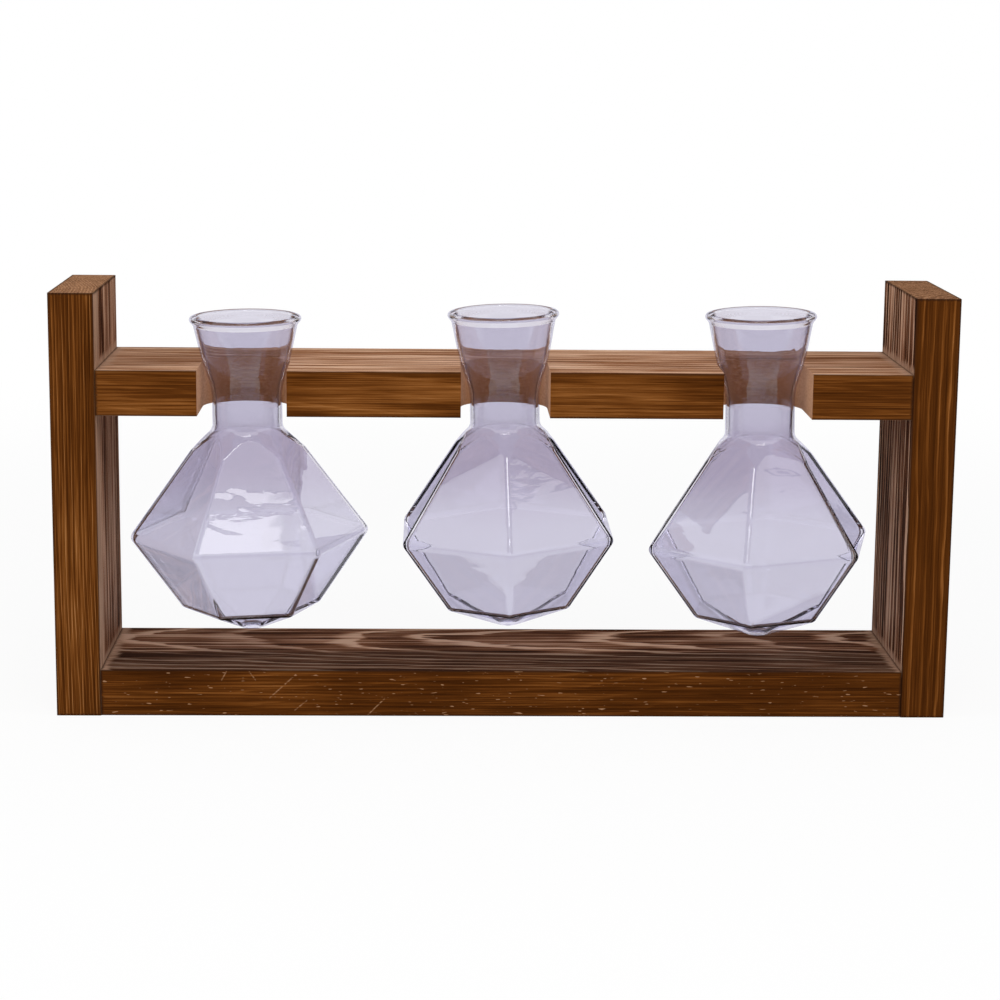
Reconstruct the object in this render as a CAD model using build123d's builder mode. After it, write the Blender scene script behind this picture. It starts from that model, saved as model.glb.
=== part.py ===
from build123d import *
import os
from math import cos, pi, radians, tan

# Propagation station: three blown-glass bulbs hang by their flared necks in the open slots of a
# wooden stand. Millimetres. X runs along the stand, Y to its back and Z up. The origin is on the
# ground under the middle of the boards.

# Boards of the stand
stand_depth = 60.0
upright_thickness = 15.0
upright_rise = 25.2
base_rail_thickness = 15.9
top_rail_thickness = 15.3
board_edge_radius = 0.6

# Room round the bulbs: between two of them, beside the outer ones and under their feet
bulb_gap = 4.4
end_gap = 6.7
foot_clearance = 9.1

# Slots in the top rail, open to the front
slot_radius = 14.8
slot_setback = 22.5

# Countersunk wood screws, two through each upright into each rail end
screw_length = 35.0
screw_shank_radius = 2.0
screw_head_radius = 4.0
screw_point_length = 5.0
screw_spacing = 30.0
screw_fit = 0.05
countersink_sink = 0.3
countersink_angle = 90.0
recess_span = 4.6
recess_width = 1.0
recess_depth = 1.6

# Neck of a glass: a tube with room round it in its slot, a flare and a rolled lip. The flare starts
# a little above the underside of the rail. The lip grows out of it over that share of its own radius,
# and leans out over both faces of the flare by its overhang, across for each up.
glass_wall = 1.1
neck_room = 3.0
seat_clearance = 0.25
flare_start_height = 2.5
flare_spread = 3.35
lip_radius = 1.4
lip_growth_share = 1.3
lip_overhang = 0.45

# Shoulder of a glass: a cone turned round the neck, and the length of neck that shows above it
shoulder_angle = 47.0
neck_reveal = 7.3
shoulder_blend = 4.0

# Faceted bulb: four hexagons, one above the other, each given by the radius to its corners
facet_count = 6
crown_spread = 3.6
girdle_radius = 41.3
lower_ring_radius = 23.8
foot_radius = 3.5
upper_facet_height = 36.5
lower_facet_height = 25.1
foot_height = 8.1
crease_radius = 2.4
inner_crease_radius = 3.0

# Each glass is blown by hand, so the length of its neck and the rise of its rim differ a little.
# At a turn of zero a corner of the bulb faces the front. Each also hangs a degree or so out of plumb.
vase_names = ("vase_left", "vase_middle", "vase_right")
neck_stretches = (0.0, -1.3, 2.0)
rim_rises = (14.3, 16.5, 16.3)
turn_angles = (37.8, 0.0, -13.0)
lean_angles = ((1.3, -0.7), (1.6, -1.5), (1.4, -1.2))

# Room by which cutting forms pass the faces that they cut
overrun = 5.0

# Sizes that follow from those above. Drops count down from the top face of the rail.
slot_pitch = 2 * girdle_radius + bulb_gap
rail_length = 2 * (slot_pitch + girdle_radius + end_gap)
half_width = rail_length / 2 + upright_thickness
slot_centre_y = slot_setback - stand_depth / 2
slot_places = [(side * slot_pitch, slot_centre_y) for side in (-1, 0, 1)]

seat_radius = slot_radius - seat_clearance
neck_radius = slot_radius - neck_room
crown_radius = neck_radius + crown_spread
flare_top_radius = seat_radius + flare_spread
flare_start_drop = top_rail_thickness - flare_start_height
shoulder_drop = top_rail_thickness + neck_reveal
girdle_drop = shoulder_drop + upper_facet_height
lower_ring_drop = girdle_drop + lower_facet_height
foot_drop = lower_ring_drop + foot_height

top_rail_top = base_rail_thickness + foot_clearance + foot_drop
top_rail_underside = top_rail_top - top_rail_thickness
upright_height = top_rail_top + upright_rise

base_screw_height = base_rail_thickness / 2
top_screw_height = top_rail_underside + top_rail_thickness / 2
screw_hole_radius = screw_shank_radius + screw_fit
countersink_radius = screw_head_radius + screw_fit + countersink_sink
pilot_depth = screw_length + countersink_sink + screw_fit - upright_thickness
head_height = (screw_head_radius - screw_shank_radius) / tan(radians(countersink_angle / 2))

shoulder_slope = tan(radians(shoulder_angle))
shoulder_tangent_share = tan(radians(shoulder_angle / 2))
join_drop = shoulder_drop - shoulder_blend * shoulder_tangent_share
crown_drop = shoulder_drop + shoulder_blend * shoulder_tangent_share * cos(radians(shoulder_angle))
apothem_share = cos(pi / facet_count)
facet_turns = [360 * pair / facet_count for pair in range(facet_count // 2)]
reach = girdle_radius + overrun


def screw_plane(side, across, height):
    """The plane that a pair of screws stands square to; side is -1 at the left, 1 at the right."""
    return Plane(origin=(side * across, 0, height), x_dir=(0, 1, 0), z_dir=(side, 0, 0))


def make_upright(side):
    """A board on end, drilled and countersunk from its outer face."""
    centre_x = side * (half_width - upright_thickness / 2)
    with BuildPart() as upright:
        with BuildSketch():
            with Locations((centre_x, 0)):
                Rectangle(upright_thickness, stand_depth)
        extrude(amount=upright_height)
        fillet(upright.edges().filter_by(Axis.Z), radius=board_edge_radius)
        for height in (base_screw_height, top_screw_height):
            with Locations(screw_plane(side, half_width, height)):
                with GridLocations(screw_spacing, 0, 2, 1):
                    CounterSinkHole(
                        radius=screw_hole_radius,
                        counter_sink_radius=countersink_radius,
                        depth=upright_thickness + overrun,
                        counter_sink_angle=countersink_angle,
                    )
    return upright.part


def drill_rail_ends(height):
    """Pilot holes for the screws in both ends of the rail that is being built."""
    for side in (-1, 1):
        with Locations(screw_plane(side, rail_length / 2, height)):
            with GridLocations(screw_spacing, 0, 2, 1):
                Hole(radius=screw_hole_radius, depth=pilot_depth)


def make_screw():
    """One wood screw along Z, its head up and the face of the head at zero."""
    with BuildPart() as screw:
        with BuildSketch(Plane.XZ):
            with BuildLine():
                Polyline(
                    (0, 0),
                    (screw_head_radius, 0),
                    (screw_shank_radius, -head_height),
                    (screw_shank_radius, screw_point_length - screw_length),
                    (0, -screw_length),
                    close=True,
                )
            make_face()
        revolve(axis=Axis.Z)
        with BuildSketch():
            Rectangle(recess_span, recess_width)
            Rectangle(recess_width, recess_span)
        extrude(amount=-recess_depth, mode=Mode.SUBTRACT)
    return screw.part


def make_screw_pair(side, height):
    """The two screws that hold one end of one rail."""
    screw = make_screw()
    with BuildPart() as pair:
        with Locations(screw_plane(side, half_width - countersink_sink, height)):
            with GridLocations(screw_spacing, 0, 2, 1):
                add(screw)
    return pair.part


def make_bulb_form(inset, edge_radius):
    """The bulb as a solid up to its neck, drawn in by inset from the outer face of the glass.

    The space between three pairs of opposite facets gives the six sides, and a turned form gives
    the shoulder, whose cone cuts the top of each facet to an arch. Both are drawn in further by
    edge_radius and the whole grows back by it, which rounds every crease and arch alike.
    """
    core_inset = inset + edge_radius
    ring_points = [
        (foot_radius * apothem_share, -foot_drop),
        (lower_ring_radius * apothem_share, -lower_ring_drop),
        (girdle_radius * apothem_share, -girdle_drop),
        (crown_radius * apothem_share, -crown_drop),
        (crown_radius * apothem_share, 0),
    ]
    mirrored_points = [(-across, height) for across, height in reversed(ring_points)]
    with BuildSketch() as facet_pair:
        with BuildLine():
            Polyline(*ring_points, *mirrored_points, close=True)
        make_face()
        offset(amount=-core_inset, kind=Kind.INTERSECTION, mode=Mode.REPLACE)

    core_radius = neck_radius - core_inset
    cone_foot_drop = (
        shoulder_drop + core_inset * shoulder_tangent_share + (reach - core_radius) / shoulder_slope
    )
    with BuildPart() as form:
        for turn in facet_turns:
            with BuildSketch(Plane.XZ.rotated((0, 0, turn)).offset(-reach)):
                add(facet_pair.sketch)
            extrude(amount=2 * reach, mode=Mode.INTERSECT if turn else Mode.ADD)
        with BuildSketch(Plane.XZ):
            with BuildLine():
                blend = JernArc(
                    start=(core_radius, -join_drop),
                    tangent=(0, -1),
                    radius=shoulder_blend + core_inset,
                    arc_size=shoulder_angle,
                )
                Polyline(
                    blend @ 1,
                    (reach, -cone_foot_drop),
                    (reach, -foot_drop - overrun),
                    (0, -foot_drop - overrun),
                    (0, overrun - join_drop),
                    (core_radius, overrun - join_drop),
                    blend @ 0,
                )
            make_face()
        revolve(axis=Axis.Z, mode=Mode.INTERSECT)
        offset(amount=edge_radius, kind=Kind.ARC, mode=Mode.REPLACE)
        split(bisect_by=Plane.XY.offset(-join_drop), keep=Keep.BOTTOM)
    return form.part


def make_bulb():
    """The hollow bulb, open where it meets the neck, with the top face of the rail at zero."""
    with BuildPart() as bulb:
        add(make_bulb_form(0, crease_radius))
        add(make_bulb_form(glass_wall, inner_crease_radius), mode=Mode.SUBTRACT)
    return bulb.part


def make_glass(bulb, stretch, rim_rise):
    """One glass on its own axis: the bulb, hung lower by stretch, under its neck, flare and lip."""
    flare_lean = flare_spread / rim_rise
    lip_growth = lip_growth_share * lip_radius
    lip_middle = flare_top_radius - glass_wall / 2
    with BuildPart() as glass:
        with Locations((0, 0, -stretch)):
            add(bulb)
        with BuildSketch(Plane.XZ):
            with BuildLine():
                wall_tops = []
                for inset in (0, glass_wall):
                    tube = Line(
                        (neck_radius - inset, -join_drop - stretch),
                        (neck_radius - inset, -flare_start_drop),
                    )
                    flare = Spline(
                        tube @ 1,
                        (seat_radius - inset, 0),
                        (flare_top_radius - inset - flare_lean * lip_growth, rim_rise - lip_growth),
                        tangents=(tube % 1, (flare_lean, 1)),
                    )
                    wall_tops.append(flare @ 1)
                outer_top, inner_top = wall_tops
                Line((neck_radius, -join_drop - stretch), (neck_radius - glass_wall, -join_drop - stretch))
                outer_lip = Spline(
                    outer_top,
                    (lip_middle + lip_radius, rim_rise),
                    (lip_middle, rim_rise + lip_radius),
                    tangents=((lip_overhang, 1), (-1, 0)),
                )
                Spline(
                    outer_lip @ 1,
                    (lip_middle - lip_radius, rim_rise),
                    inner_top,
                    tangents=((-1, 0), (lip_overhang, -1)),
                )
            make_face()
        revolve(axis=Axis.Z)
    return glass.part


os.makedirs("parts", exist_ok=True)

# Uprights
left_upright = make_upright(-1)
right_upright = make_upright(1)

# Top rail, slotted from the front
with BuildPart() as top_rail:
    with BuildSketch(Plane.XY.offset(top_rail_underside)):
        Rectangle(rail_length, stand_depth)
        with Locations(*slot_places):
            Circle(slot_radius, mode=Mode.SUBTRACT)
            Rectangle(
                2 * slot_radius,
                slot_setback + overrun,
                align=(Align.CENTER, Align.MAX),
                mode=Mode.SUBTRACT,
            )
    extrude(amount=top_rail_thickness)
    fillet(top_rail.edges().filter_by(Axis.X), radius=board_edge_radius)
    drill_rail_ends(top_screw_height)

# Base rail
with BuildPart() as base_rail:
    with BuildSketch():
        Rectangle(rail_length, stand_depth)
    extrude(amount=base_rail_thickness)
    fillet(base_rail.edges().filter_by(Axis.X), radius=board_edge_radius)
    drill_rail_ends(base_screw_height)

pieces = {
    "left_upright": left_upright,
    "right_upright": right_upright,
    "top_rail": top_rail.part,
    "base_rail": base_rail.part,
    "top_left_screws": make_screw_pair(-1, top_screw_height),
    "top_right_screws": make_screw_pair(1, top_screw_height),
    "base_left_screws": make_screw_pair(-1, base_screw_height),
    "base_right_screws": make_screw_pair(1, base_screw_height),
}

# Glasses, each turned in its slot
bulb = make_bulb()
for name, place, stretch, rise, turn, lean in zip(
    vase_names, slot_places, neck_stretches, rim_rises, turn_angles, lean_angles
):
    glass = make_glass(bulb, stretch, rise)
    with BuildPart() as vase:
        with Locations(Location((*place, top_rail_top), (*lean, turn))):
            add(glass)
    pieces[name] = vase.part

for name, piece in pieces.items():
    piece.label = name
    export_step(piece, f"parts/{name}.step")
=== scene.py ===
from math import hypot, pi

import bpy
from mathutils import Matrix, Vector


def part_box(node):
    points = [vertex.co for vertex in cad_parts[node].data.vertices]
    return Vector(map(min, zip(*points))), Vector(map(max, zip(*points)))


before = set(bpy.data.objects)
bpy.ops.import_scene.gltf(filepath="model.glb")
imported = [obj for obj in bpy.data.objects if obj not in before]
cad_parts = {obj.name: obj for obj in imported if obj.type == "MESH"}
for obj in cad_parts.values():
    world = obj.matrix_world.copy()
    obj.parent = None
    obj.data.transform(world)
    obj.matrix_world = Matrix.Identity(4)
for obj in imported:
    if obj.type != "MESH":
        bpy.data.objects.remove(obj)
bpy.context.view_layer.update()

# Propagation station: burnt and brushed softwood boards that carry three clear blown glasses.
# Lengths are in metres, except inside the materials of the boards and glasses, which measure in
# millimetres. A pair of numbers named ..._STEP is a stretch over which a share goes smoothly
# from 0, at the first, to 1, at the second, which may be the lower number.
MM = 0.001
VASES = ("vase_left", "vase_middle", "vase_right")
SCREWS = ("top_left_screws", "top_right_screws", "base_left_screws", "base_right_screws")

# The photograph's view, as found from the straight edges of the boards
IMAGE_SIZE = 1000
FOCAL_LENGTH_PX = 2520
SENSOR_WIDTH_MM = 36
CAMERA_PLACE = Vector((-24.265, -852.952, 231.362)) * MM
CAMERA_YAW = -0.027609
CAMERA_PITCH = -0.188243
CAMERA_ROLL = -0.009939

# Light on the object. Each softbox has a place, a target, a width, a height and its watts.
FILL_LEVEL = 0.45
SOFTBOXES = {
    "front_softbox": ((0.02, -0.60, 0.60), (-0.08, -0.03, 0.07), 0.5, 0.32, 2.2),
    "left_softbox": ((-0.75, -0.25, 0.55), (0, 0, 0.07), 0.4, 0.4, 2.5),
    "right_softbox": ((0.75, -0.25, 0.55), (0, 0, 0.07), 0.4, 0.4, 2.0),
}

# The studio that the glass mirrors, by direction. A direction's rise over the horizon is its z
# plus HORIZON_SLANT times its y, less HORIZON.
HORIZON = 0.611
HORIZON_SLANT = 0.281
HORIZON_STEP = (0.0005, -0.0005)
LINE_STEP = (0.0024, 0.0008)
LINE_RAGGEDNESS = 0.006
CLOUD_STEP = (0.006, 0.004)
CLOUD_RAGGEDNESS = 0.05
RAGGED_SCALE = (45, 45, 150)
CEILING_LEVEL = 0.08
CLOUD_LEVEL = 1.7
FRONT_LEVEL = 1.3
FRONT_STEP = (-0.50, -0.56)
LOW_WALL_LEVEL = 1.0
WALL_LEVEL = 2.0
WALL_STEP = (0.2, 0.45)
DARK_ROOM_STEP = (-0.75, -0.88)
LAMP_STEP = (-0.2, -0.35)
WINDOW_LEVEL = 4.5
WINDOW_RISE_STEPS = ((-0.14, -0.12), (-0.0015, -0.0025))
WINDOW_X_STEPS = ((-0.02, 0.02), (0.150, 0.143))
STRIP_LEVEL = 10.0
STRIP_Z_STEPS = ((0.84, 0.85), (0.90, 0.89))
STRIP_X_STEPS = ((-0.25, -0.20), (0.16, 0.12))

# Floor
FLOOR_SIZE = 30.0
FLOOR_WHITE = 0.9
FLOOR_GLOW_SHARE = 0.9
SHADOW_END_STEP = (0.25, 0.8)
MIRRORED_FLOOR = (1.0, 0.04)
DARK_FLOOR_STEP = (0.3, 0.5)
DARK_FRONT_STEP = (-0.12, -0.18)

# Places on the stand
FRONT = -30.0
INNER_HALF_STEP = (137.0, 136.0)
BASE_RAIL_TOP = 15.9
TOP_RAIL_TOP = 117.3
SLOT_BACK_STEP = (-6.0, 6.0)
INSIDE_STEP = (0.4, 0.9)
SCRATCHES = (
    ((-94.6, 12.4), (-92.9, 15.5)),
    ((-85.3, 15.5), (-83.1, 12.4)),
    ((-78.5, 6.3), (-69.6, 14.5)),
    ((-70.1, 2.0), (-65.9, 5.5)),
    ((-45.6, 0.3), (-39.7, 6.3)),
)
SCRATCH_STEP = (0.34, 0.0)
SCRATCH_BREAK_STEP = (0.38, 0.6)
SCRATCH_START_STEP = (-0.3, 0.2)

# Wood's noises: scale across the grain and along it, detail and roughness
WOOD_NOISES = {
    "bend": (0.03, 0.009, 1, 0.5),
    "wave": (0.12, 0.03, 2, 0.5),
    "sway": (0.9, 0.06, 1, 0.5),
    "hair": (5.0, 0.05, 2, 0.6),
    "fibre": (1.6, 0.022, 3, 0.6),
    "streak": (0.45, 0.010, 2, 0.5),
    "cloud": (0.06, 0.022, 2, 0.5),
    "speck": (1.5, 0.4, 2, 0.7),
}
# How far a noise moves the growth rings, in ring gaps
RING_SHIFTS = {"bend": 2.6, "wave": 0.8, "sway": 0.25}
RING_JITTER_SCALE = 0.45
RIDGE_STEPS = ((0.0, 0.08), (0.42, 0.10))
RIDGE_STRENGTH_STEP = (0.3, 0.6)
WEAKEST_RIDGE = 0.4
FACING_STEP = (0.6, 0.8)
OFF_TOP_STEP = (0.6, 0.4)
EDGE_STEP = (0.9, 0.1)
EDGE_RAGGEDNESS = -2.4
EDGE_CHAR = 0.75
TOP_CHAR = 0.66
TOP_CHAR_STEP = (4.0, -9.0)
TOP_CHAR_SHIFTS = {"cloud": 16.0, "streak": 8.0}
STRIP_FADE = 1.6
JOINT_STRIP = {"width": 2.0, "ragged": 6.0}
JOINT_STRIP_RISE = 0.6
FRONT_STRIP = {"width": 12.0, "ragged": 9.0, "strength": 0.75}
END_STRIP = {"width": 3.4, "ragged": 7.0}
DASH_SCALE = (0.28, 1.0, 1.3)
SCUFF_STEP = (0.68, 0.73)
SCUFF_SHARE = 0.75
WOOD_GLOSS = 0.005
WOOD_ROUGHNESS = 0.62
RIDGE_POLISH = -0.1
WOOD_BUMP = {"Strength": 0.7, "Distance": 0.3 * MM}

# Wood's colours, linear. Each tone runs from the darkest to the lightest.
CHAR = (0.022, 0.009, 0.005)
PALE_TAN = (0.46, 0.25, 0.13)
BARE = [(0.3, (0.24, 0.12, 0.07)), (0.6, (0.60, 0.38, 0.26))]
SLOT_SIDE = [(0.3, (0.46, 0.23, 0.125)), (0.7, (0.66, 0.38, 0.24))]
# Bare wood at the back of the slot, painted brighter than it is: painted light that makes up for
# the shade in the slot behind the neck.
SLOT_BACK_WITH_PAINTED_LIGHT = [(0.3, (0.41, 0.155, 0.045)), (0.7, (0.64, 0.305, 0.13))]
TONES = {
    "stained": [
        (0.0, (0.040, 0.011, 0.002)),
        (0.35, (0.090, 0.026, 0.004)),
        (0.55, (0.155, 0.049, 0.0085)),
        (0.8, (0.26, 0.096, 0.023)),
        (1.0, (0.38, 0.17, 0.055)),
    ],
    "brushed": [
        (0.0, (0.020, 0.007, 0.004)),
        (0.3, (0.085, 0.028, 0.012)),
        (0.55, (0.22, 0.088, 0.042)),
        (0.8, (0.44, 0.225, 0.135)),
        (1.0, (0.66, 0.42, 0.29)),
    ],
    "warm": [
        (0.0, (0.12, 0.038, 0.012)),
        (0.35, (0.28, 0.105, 0.040)),
        (0.6, (0.47, 0.235, 0.125)),
        (1.0, (0.78, 0.50, 0.34)),
    ],
    "end": [
        (0.1, (0.13, 0.050, 0.020)),
        (0.9, (0.60, 0.31, 0.16)),
    ],
}

# Glass
GLASS_IOR = 1.5
BULB_TINT = (0.77, 0.755, 0.845)
SHOULDER_TINT = (0.68, 0.645, 0.75)
SHOULDER_STEP = (62.0, 80.0)
NECK_TINT = (0.72, 0.70, 0.79)
NECK_STEP = (90.0, 100.0)
GLASS_WAVE = 0.12
WAVE_SCALE = (0.05, 0.05, 0.10)
RIPPLE_SCALE = (0.16, 0.16, 0.5)
RIPPLE_SHARE = 0.05
RIPPLE_STEPS = ((40.0, 62.0), (94.0, 84.0))
EDGE_ON_SHARE = 0.9
EDGE_ON_STEP = (0.62, 0.82)
EDGE_ON_TINT = (0.86, 0.85, 0.92)
OUTLINE_STEP = (0.94, 1.0)
OUTLINE_TINT = (0.55, 0.54, 0.58)
SHADOW_TINT = (0.93, 0.93, 0.95)

# Screws
STEEL = [(0.35, (0.10, 0.085, 0.07)), (0.7, (0.32, 0.30, 0.27))]
STEEL_BUMP = {"Strength": 0.3, "Distance": 0.05 * MM}
STEEL_ROUGHNESS = (0.25, 0.5)
GRIME_SCALE = (900, 900, 900)


class Graph:
    """The node tree of a material or world, with a short call for each kind of node used here."""

    def __init__(self, owner):
        self.owner = owner
        owner.use_nodes = True
        self.tree = owner.node_tree
        self.tree.nodes.clear()

    def node(self, kind, inputs=None, **settings):
        made = self.tree.nodes.new(kind)
        for key, value in settings.items():
            setattr(made, key, value)
        for key, value in (inputs or {}).items():
            self.fill(made.inputs[key], value)
        return made

    def fill(self, socket, value):
        if isinstance(value, bpy.types.NodeSocket):
            self.tree.links.new(value, socket)
        else:
            socket.default_value = value

    def math(self, operation, a, b=0.0, c=0.0):
        return self.node("ShaderNodeMath", {0: a, 1: b, 2: c}, operation=operation).outputs[0]

    def product(self, first, *others):
        for other in others:
            first = self.math("MULTIPLY", first, other)
        return first

    def total(self, *terms, start=0.0):
        """start plus each value times its weight."""
        for value, weight in terms:
            start = self.math("MULTIPLY_ADD", value, weight, start)
        return start

    def opposite(self, share):
        return self.math("SUBTRACT", 1.0, share)

    def centred(self, value):
        """Noise from 0 to 1 as a number round zero."""
        return self.math("SUBTRACT", value, 0.5)

    def step(self, value, low, high):
        """0 up to low, 1 from high on and smooth between; high may be the lower number."""
        made = self.node(
            "ShaderNodeMapRange",
            {"Value": value, "From Min": low, "From Max": high},
            interpolation_type="SMOOTHSTEP",
        )
        return made.outputs["Result"]

    def between(self, value, start, end):
        """The share of a stretch that begins with the step start and stops with the step end."""
        return self.product(self.step(value, *start), self.step(value, *end))

    def blend(self, share, a, b):
        """The number a where share is 0, b where it is 1."""
        return self.math("MULTIPLY_ADD", self.math("SUBTRACT", b, a), share, a)

    def mix(self, share, a, b):
        """The colour a where share is 0, b where it is 1."""
        made = self.node("ShaderNodeMix", data_type="RGBA")
        sockets = {socket.identifier: socket for socket in (*made.inputs, *made.outputs)}
        self.fill(sockets["Factor_Float"], share)
        self.fill(sockets["A_Color"], (*a, 1) if isinstance(a, tuple) else a)
        self.fill(sockets["B_Color"], (*b, 1) if isinstance(b, tuple) else b)
        return sockets["Result_Color"]

    def ramp(self, value, stops):
        made = self.node("ShaderNodeValToRGB", {"Fac": value})
        points = made.color_ramp.elements
        while len(points) < len(stops):
            points.new(0.5)
        for point, (place, colour) in zip(points, stops):
            point.position = place
            point.color = (*colour, 1)
        return made.outputs["Color"]

    def split(self, vector):
        return self.node("ShaderNodeSeparateXYZ", {"Vector": vector}).outputs

    def vector(self, x, y, z):
        return self.node("ShaderNodeCombineXYZ", {"X": x, "Y": y, "Z": z}).outputs["Vector"]

    def scaled(self, vector, x, y, z):
        made = self.node("ShaderNodeVectorMath", {0: vector, 1: (x, y, z)}, operation="MULTIPLY")
        return made.outputs["Vector"]

    def noise(self, vector, detail=2.0, roughness=0.5, distortion=0.0):
        """Noise from 0 to 1, about one feature to each unit of the vector."""
        settings = {"Detail": detail, "Roughness": roughness, "Distortion": distortion}
        made = self.node("ShaderNodeTexNoise", {"Vector": vector, "Scale": 1.0, **settings})
        return made.outputs["Fac"]

    def shader(self, kind, inputs):
        return self.node(kind, inputs).outputs[0]

    def mix_shaders(self, share, a, b):
        return self.shader("ShaderNodeMixShader", {0: share, 1: a, 2: b})

    def finish(self, surface, output="ShaderNodeOutputMaterial"):
        self.node(output, {"Surface": surface})
        return self.owner


def material_graph(name):
    return Graph(bpy.data.materials.new(name))


def dress(node, material):
    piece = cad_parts[node]
    piece.data.materials.clear()
    piece.data.materials.append(material)


def make_camera():
    data = bpy.data.cameras.new("camera")
    data.sensor_width = SENSOR_WIDTH_MM
    data.lens = FOCAL_LENGTH_PX / IMAGE_SIZE * SENSOR_WIDTH_MM
    data.clip_end = 2 * FLOOR_SIZE
    camera = bpy.data.objects.new("camera", data)
    bpy.context.scene.collection.objects.link(camera)
    camera.matrix_world = (
        Matrix.Translation(CAMERA_PLACE)
        @ Matrix.Rotation(CAMERA_YAW, 4, "Z")
        @ Matrix.Rotation(CAMERA_PITCH + pi / 2, 4, "X")
        @ Matrix.Rotation(-CAMERA_ROLL, 4, "Z")
    )
    bpy.context.scene.camera = camera


def make_world():
    """White behind everything, an even fill light, and the lit studio that the glass mirrors.

    The studio's bright wall ends in front at a slanting horizon, with a dark line along it and
    ragged pale patches over it, which cross the upper facets of every glass at half their height.
    A window under the horizon and a lamp strip high above it give the white highlights. Low down
    in front the room is dark, so that the necks stay clear.
    """
    world = bpy.data.worlds.new("studio")
    bpy.context.scene.world = world
    g = Graph(world)
    path = g.node("ShaderNodeLightPath").outputs
    direction = g.node("ShaderNodeTexCoord").outputs["Generated"]
    x, y, z = g.split(direction)
    rise = g.total((z, 1.0), (y, HORIZON_SLANT), start=-HORIZON)
    ragged = g.centred(g.noise(g.scaled(direction, *RAGGED_SCALE), 3, 0.6))

    wall = g.blend(g.step(z, *WALL_STEP), LOW_WALL_LEVEL, WALL_LEVEL)
    dark_room = g.product(g.step(y, *DARK_ROOM_STEP), g.step(z, *reversed(WALL_STEP)))
    wall = g.blend(dark_room, wall, CEILING_LEVEL)
    studio = g.blend(g.step(y, *FRONT_STEP), CEILING_LEVEL, FRONT_LEVEL)
    cloud = g.step(g.total((ragged, CLOUD_RAGGEDNESS), start=rise), *CLOUD_STEP)
    studio = g.blend(cloud, studio, CLOUD_LEVEL)
    studio = g.blend(g.step(rise, *HORIZON_STEP), studio, wall)
    from_line = g.math("ABSOLUTE", g.total((ragged, LINE_RAGGEDNESS), start=rise))
    studio = g.product(studio, g.opposite(g.step(from_line, *LINE_STEP)))

    front = g.step(y, *LAMP_STEP)
    window_rise = g.between(rise, *WINDOW_RISE_STEPS)
    window = g.product(window_rise, front, g.between(x, *WINDOW_X_STEPS))
    strip = g.product(front, g.between(z, *STRIP_Z_STEPS), g.between(x, *STRIP_X_STEPS))
    studio = g.total((window, WINDOW_LEVEL), (strip, STRIP_LEVEL), start=studio)

    straight = g.math("MAXIMUM", path["Is Camera Ray"], path["Is Transmission Ray"])
    mirrored = g.product(path["Is Glossy Ray"], path["Is Singular Ray"], g.opposite(straight))
    fill = g.opposite(g.math("MAXIMUM", straight, mirrored))
    level = g.total((mirrored, studio), (fill, FILL_LEVEL), start=straight)
    background = g.shader("ShaderNodeBackground", {"Color": (1, 1, 1, 1), "Strength": level})
    g.finish(background, "ShaderNodeOutputWorld")


def make_floor():
    """A wide white floor that keeps the object's shadow, and is dark farther off in the glass."""
    half = FLOOR_SIZE / 2
    corners = [(-half, -half, 0), (half, -half, 0), (half, half, 0), (-half, half, 0)]
    mesh = bpy.data.meshes.new("floor")
    mesh.from_pydata(corners, [], [(0, 1, 2, 3)])
    floor = bpy.data.objects.new("floor", mesh)
    bpy.context.scene.collection.objects.link(floor)

    g = material_graph("floor")
    path = g.node("ShaderNodeLightPath").outputs
    camera, glossy = path["Is Camera Ray"], path["Is Glossy Ray"]
    through = path["Is Transmission Ray"]
    place = g.node("ShaderNodeTexCoord").outputs["Object"]
    away = g.node("ShaderNodeVectorMath", {0: place}, operation="LENGTH").outputs["Value"]
    in_front = g.step(g.split(place)[1], *DARK_FRONT_STEP)
    dark = g.math("MAXIMUM", g.step(away, *DARK_FLOOR_STEP), in_front)
    mirrored = g.product(glossy, g.opposite(through))
    level = g.blend(mirrored, 1.0, g.blend(dark, *MIRRORED_FLOOR))
    glow = g.shader("ShaderNodeEmission", {"Color": (1, 1, 1, 1), "Strength": level})
    white = (FLOOR_WHITE, FLOOR_WHITE, FLOOR_WHITE, 1)
    paper = g.shader("ShaderNodeBsdfDiffuse", {"Color": white})
    seen = g.math("MAXIMUM", camera, g.math("MAXIMUM", glossy, through))
    glow_share = g.blend(g.step(away, *SHADOW_END_STEP), FLOOR_GLOW_SHARE, 1.0)
    floor.data.materials.append(g.finish(g.mix_shaders(g.product(seen, glow_share), paper, glow)))


def make_softbox(name, place, target, width, height, watts):
    data = bpy.data.lights.new(name, "AREA")
    data.shape = "RECTANGLE"
    data.size = width
    data.size_y = height
    data.energy = watts
    light = bpy.data.objects.new(name, data)
    bpy.context.scene.collection.objects.link(light)
    light.location = place
    light.rotation_euler = (Vector(place) - Vector(target)).to_track_quat("Z", "Y").to_euler()
    light.visible_camera = False
    light.visible_transmission = False
    light.visible_glossy = False


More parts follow.
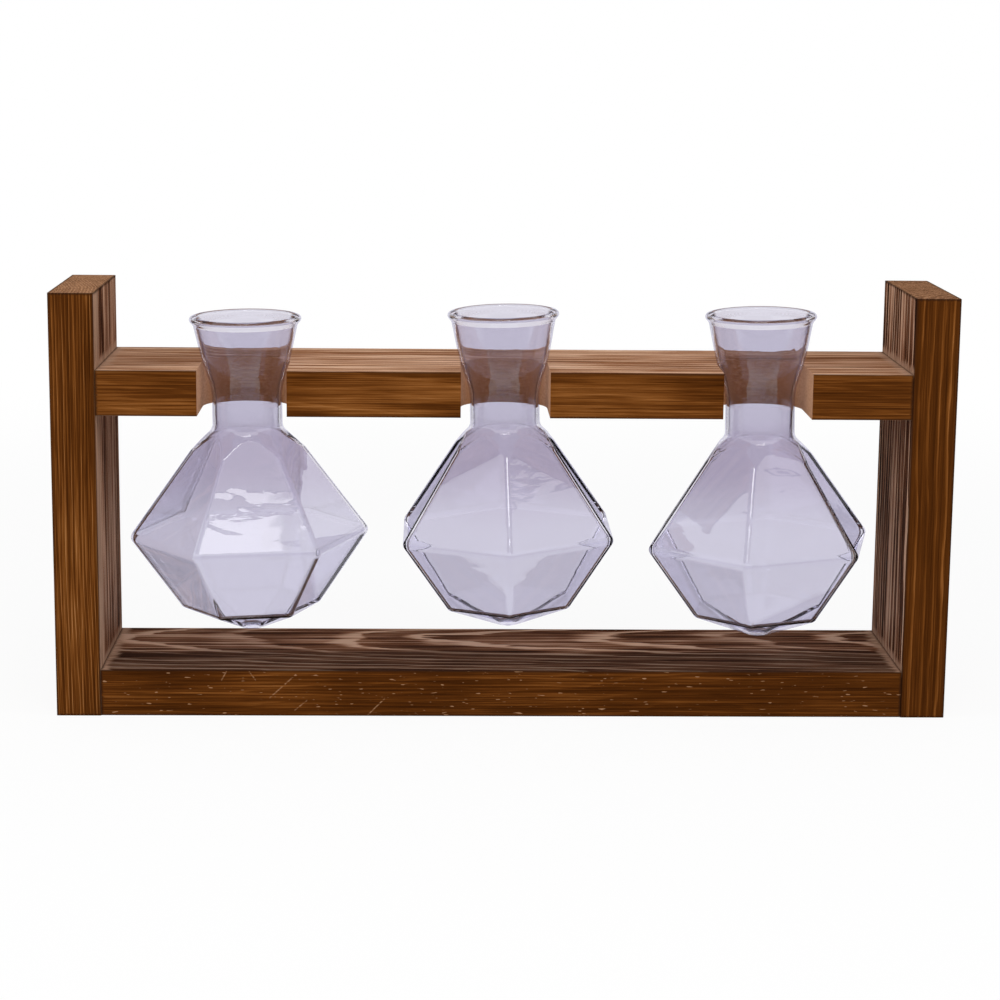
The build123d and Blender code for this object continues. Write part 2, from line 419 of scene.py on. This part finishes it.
def make_fields(g, node, grain, pith, tilt, ring_gap, ring_jitter):
    """What the wood is like at each point of a board, in millimetres and shares.

    The growth rings lie round a line along the grain that passes the board at pith, two places
    across the grain, and leans by tilt. A face nearly along the rings shows the long pointed
    figure, and the others show lines.
    """
    low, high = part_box(node)
    coordinates = g.node("ShaderNodeTexCoord").outputs
    x, y, z = g.split(g.scaled(coordinates["Object"], 1 / MM, 1 / MM, 1 / MM))
    u, w, along = (x, y, z) if grain == "Z" else (y, z, x)
    grain_space = g.vector(u, w, along)
    noises = {}
    for name, (across_scale, along_scale, detail, roughness) in WOOD_NOISES.items():
        place = g.scaled(grain_space, across_scale, across_scale, along_scale)
        noises[name] = g.noise(place, detail, roughness)

    from_pith = [
        g.math("SUBTRACT", g.math("MULTIPLY_ADD", along, lean, place), start)
        for place, start, lean in zip((u, w), pith, tilt)
    ]
    squares = [g.product(part, part) for part in from_pith]
    shifts = [(g.centred(noises[name]), gaps * ring_gap) for name, gaps in RING_SHIFTS.items()]
    distance = g.math("ADD", g.math("SQRT", g.math("ADD", *squares)), g.total(*shifts))
    rings = g.math("DIVIDE", distance, ring_gap)
    ring_place = g.vector(g.math("MULTIPLY", rings, RING_JITTER_SCALE), 0.0, 0.0)
    rings = g.total((g.centred(g.noise(ring_place, 1)), ring_jitter), start=rings)
    # Pale hard ridge: rises sharply, falls off slowly, and each ring has its own strength
    one_ring = g.noise(g.vector(g.math("FLOOR", rings), 0.5, 0.5), 0)
    strength = g.blend(g.step(one_ring, *RIDGE_STRENGTH_STEP), WEAKEST_RIDGE, 1.0)
    ridge = g.product(g.between(g.math("FRACT", rings), *RIDGE_STEPS), strength)

    gaps = []
    for place, first, last in zip((x, y, z), low, high):
        to_first = g.math("SUBTRACT", place, first / MM)
        to_last = g.math("SUBTRACT", last / MM, place)
        gaps.append(g.math("MINIMUM", to_first, to_last))
    # The nearest edge is as far off as the middle one of the distances to the three faces
    smaller, larger = g.math("MINIMUM", gaps[0], gaps[1]), g.math("MAXIMUM", gaps[0], gaps[1])
    edge_gap = g.math("MAXIMUM", smaller, g.math("MINIMUM", larger, gaps[2]))
    normal = g.split(coordinates["Normal"])
    facing = [g.step(g.math("ABSOLUTE", part), *FACING_STEP) for part in normal]
    places = {"place": (x, y, z), "gaps": gaps, "edge_gap": edge_gap, "facing": facing}
    return {**places, "ridge": ridge, **noises}


def face_look(
    g, fields, base, ridge=0.0, hair=0.5, fibre=0.5, streak=0.5, cloud=0.4, tone="brushed"
):
    """One face's lightness, built up from the wood's fields, and its colour. Returns both."""
    light = g.total(
        (fields["ridge"], ridge),
        (g.centred(fields["hair"]), hair),
        (g.centred(fields["fibre"]), fibre),
        (g.centred(fields["streak"]), streak),
        (g.centred(fields["cloud"]), cloud),
        start=base,
    )
    return light, g.ramp(light, TONES[tone])


def make_board(node, grain, pith, tilt, ring_gap, ring_jitter, faces, finish):
    """Burnt, brushed and stained softwood. faces gives the look of each pair of faces, X, Y, Z."""
    g = material_graph(node)
    fields = make_fields(g, node, grain, pith, tilt, ring_gap, ring_jitter)
    looks = [face_look(g, fields, **settings) for settings in faces]
    light, colour = looks[0]
    for facing, (face_light, face_colour) in zip(fields["facing"][1:], looks[1:]):
        light = g.blend(facing, light, face_light)
        colour = g.mix(facing, colour, face_colour)
    colour = finish(g, fields, colour)

    ragged = g.total((g.centred(fields["fibre"]), EDGE_RAGGEDNESS), start=fields["edge_gap"])
    colour = g.mix(g.product(g.step(ragged, *EDGE_STEP), EDGE_CHAR), colour, CHAR)
    bump = g.node("ShaderNodeBump", {**WOOD_BUMP, "Height": light})
    wood = g.shader(
        "ShaderNodeBsdfPrincipled",
        {
            "Base Color": colour,
            "Roughness": g.math("MULTIPLY_ADD", light, RIDGE_POLISH, WOOD_ROUGHNESS),
            "Specular IOR Level": WOOD_GLOSS,
            "Normal": bump.outputs["Normal"],
        },
    )
    dress(node, g.finish(wood))


def bare_strip(g, fields, colour, gap, width, ragged, strength=0.85):
    """A bare fibrous strip where one board meets another; gap is the distance from the joint."""
    hair, streak = g.centred(fields["hair"]), g.centred(fields["streak"])
    edge = g.total((hair, ragged), (streak, ragged), start=gap)
    mask = g.product(g.step(edge, width, width - STRIP_FADE), strength)
    return g.mix(mask, colour, g.ramp(fields["fibre"], BARE))


def finish_upright(inward):
    """Bare strips over both rails on the inner face; the left one also has one down its front."""

    def finish(g, fields, colour):
        x, y, z = fields["place"]
        inner_half = g.step(g.math("MULTIPLY", x, -inward), *INNER_HALF_STEP)
        inner = g.product(fields["facing"][0], inner_half)
        marked = colour
        for rail_top in (BASE_RAIL_TOP, TOP_RAIL_TOP):
            above = g.math("ABSOLUTE", g.math("SUBTRACT", z, rail_top + JOINT_STRIP_RISE))
            marked = bare_strip(g, fields, marked, above, **JOINT_STRIP)
        if inward > 0:
            marked = bare_strip(g, fields, marked, g.math("SUBTRACT", y, FRONT), **FRONT_STRIP)
        return g.mix(inner, colour, marked)

    return finish


def finish_top_rail(g, fields, colour):
    """Plainer slot walls, the back one with painted light, and bare strips on top at both ends."""
    top = fields["facing"][2]
    ended = bare_strip(g, fields, colour, fields["gaps"][0], **END_STRIP)
    colour = g.mix(top, colour, ended)
    # The slot's walls are bare wood. The back one is painted brighter, as painted light against the
    # shade in the slot.
    side = g.ramp(fields["speck"], SLOT_SIDE)
    painted_light_back = g.ramp(fields["fibre"], SLOT_BACK_WITH_PAINTED_LIGHT)
    wall = g.mix(g.step(fields["place"][1], *SLOT_BACK_STEP), side, painted_light_back)
    inside = g.product(g.step(fields["gaps"][1], *INSIDE_STEP), g.step(top, *OFF_TOP_STEP))
    return g.mix(inside, colour, wall)


def finish_base_rail(g, fields, colour):
    """A charred front half on top, bare strips at the ends, and a scuffed front."""
    x, y, z = fields["place"]
    top = fields["facing"][2]
    shifts = [(g.centred(fields[name]), shift) for name, shift in TOP_CHAR_SHIFTS.items()]
    depth = g.total(*shifts, start=y)
    charred = g.product(top, g.step(depth, *TOP_CHAR_STEP), TOP_CHAR)
    colour = g.mix(charred, colour, CHAR)
    ended = bare_strip(g, fields, colour, fields["gaps"][0], **END_STRIP)
    colour = g.mix(top, colour, ended)

    dashes = g.noise(g.scaled(g.vector(x, y, z), *DASH_SCALE), 1, 0.5)
    scuff = g.step(dashes, *SCUFF_STEP)
    broken = g.step(fields["speck"], *SCRATCH_BREAK_STEP)
    for (x1, z1), (x2, z2) in SCRATCHES:
        length = hypot(x2 - x1, z2 - z1)
        dx, dz = (x2 - x1) / length, (z2 - z1) / length
        off_x, off_z = g.math("SUBTRACT", x, x1), g.math("SUBTRACT", z, z1)
        run = g.total((off_x, dx), (off_z, dz))
        side = g.math("ABSOLUTE", g.total((off_x, dz), (off_z, -dx)))
        end_step = [length - place for place in SCRATCH_START_STEP]
        within = g.between(run, SCRATCH_START_STEP, end_step)
        scratch = g.product(within, g.step(side, *SCRATCH_STEP), broken)
        scuff = g.math("MAXIMUM", scuff, scratch)
    return g.mix(g.product(scuff, fields["facing"][1], SCUFF_SHARE), colour, PALE_TAN)


def make_glass():
    """Clear blown glass: gently uneven, and a little deeper in tint at the shoulder and neck."""
    g = material_graph("clear_glass")
    coordinates = g.node("ShaderNodeTexCoord").outputs
    place = g.scaled(coordinates["Object"], 1 / MM, 1 / MM, 1 / MM)
    height = g.split(place)[2]
    waves = g.noise(g.scaled(place, *WAVE_SCALE), 1, 0.5, 0.6)
    ripples = g.noise(g.scaled(place, *RIPPLE_SCALE), 2, 0.5, 0.3)
    ripples = g.product(ripples, g.between(height, *RIPPLE_STEPS))
    surface = g.total((ripples, RIPPLE_SHARE), start=waves)
    uneven = {"Strength": 1.0, "Distance": GLASS_WAVE * MM, "Height": surface}
    tint = g.mix(g.step(height, *SHOULDER_STEP), BULB_TINT, SHOULDER_TINT)
    tint = g.mix(g.step(height, *NECK_STEP), tint, NECK_TINT)
    glass = g.shader(
        "ShaderNodeBsdfPrincipled",
        {
            "Base Color": tint,
            "Roughness": 0.0,
            "IOR": GLASS_IOR,
            "Transmission Weight": 1.0,
            "Normal": g.node("ShaderNodeBump", uneven).outputs["Normal"],
        },
    )
    # A wall seen nearly along its face would trap the light, so there it lets most straight through
    edge_on = g.node("ShaderNodeLayerWeight", {"Blend": 0.5}).outputs["Facing"]
    edge_tint = g.mix(g.step(edge_on, *OUTLINE_STEP), EDGE_ON_TINT, OUTLINE_TINT)
    edge = g.shader("ShaderNodeBsdfTransparent", {"Color": edge_tint})
    glass = g.mix_shaders(g.product(g.step(edge_on, *EDGE_ON_STEP), EDGE_ON_SHARE), glass, edge)
    clear = g.shader("ShaderNodeBsdfTransparent", {"Color": (*SHADOW_TINT, 1)})
    shadow = g.node("ShaderNodeLightPath").outputs["Is Shadow Ray"]
    material = g.finish(g.mix_shaders(shadow, glass, clear))
    for node in VASES:
        dress(node, material)


def make_screws():
    """Dark zinc-plated steel."""
    g = material_graph("screw_steel")
    place = g.node("ShaderNodeTexCoord").outputs["Object"]
    grime = g.noise(g.scaled(place, *GRIME_SCALE), 3, 0.6)
    bump = g.node("ShaderNodeBump", {**STEEL_BUMP, "Height": grime})
    steel = g.shader(
        "ShaderNodeBsdfPrincipled",
        {
            "Base Color": g.ramp(grime, STEEL),
            "Metallic": 1.0,
            "Roughness": g.blend(grime, *STEEL_ROUGHNESS),
            "Normal": bump.outputs["Normal"],
        },
    )
    material = g.finish(steel)
    for node in SCREWS:
        dress(node, material)


bpy.context.scene.view_settings.view_transform = "Standard"
make_camera()
make_world()
make_floor()
for softbox, settings in SOFTBOXES.items():
    make_softbox(softbox, *settings)

make_board(
    "left_upright", grain="Z", pith=(-260, -30), tilt=(0.01, 0.0), ring_gap=1.1, ring_jitter=0.5,
    faces=(
        dict(base=0.48, ridge=0.35, hair=1.4, fibre=2.0, streak=2.4, cloud=0.8),
        dict(base=0.38, ridge=0.42, hair=0.8, fibre=1.6, streak=0.5, cloud=0.6, tone="stained"),
        dict(base=0.42, ridge=0.45, hair=1.6, fibre=2.2, streak=0.6, cloud=0.3, tone="end"),
    ),
    finish=finish_upright(1),
)
make_board(
    "right_upright", grain="Z", pith=(210, -60), tilt=(0.0, 0.01), ring_gap=3.0, ring_jitter=0.8,
    faces=(
        dict(base=0.38, ridge=0.95, hair=1.4, fibre=2.0, streak=2.4, cloud=1.0),
        dict(base=0.27, ridge=0.38, hair=0.6, fibre=1.1, streak=0.4, cloud=0.4, tone="stained"),
        dict(base=0.30, ridge=0.35, hair=1.6, fibre=2.2, streak=0.6, cloud=0.3, tone="end"),
    ),
    finish=finish_upright(-1),
)
make_board(
    "top_rail", grain="X", pith=(15, 135), tilt=(0.03, 0.03), ring_gap=2.4, ring_jitter=0.8,
    faces=(
        dict(base=0.5, tone="end"),
        dict(base=0.46, ridge=0.10, hair=0.6, fibre=1.3, streak=0.5, cloud=1.0, tone="stained"),
        dict(base=0.55, ridge=0.35, hair=1.2, fibre=2.2, streak=1.8, cloud=0.9, tone="warm"),
    ),
    finish=finish_top_rail,
)
make_board(
    "base_rail", grain="X", pith=(14, -22), tilt=(-0.015, -0.07), ring_gap=3.2, ring_jitter=0.8,
    faces=(
        dict(base=0.5, tone="end"),
        dict(base=0.29, ridge=0.14, hair=0.6, fibre=1.4, streak=0.5, cloud=0.6, tone="stained"),
        dict(base=0.46, ridge=0.95, hair=1.2, fibre=2.0, streak=1.4, cloud=0.9),
    ),
    finish=finish_base_rail,
)
make_glass()
make_screws()
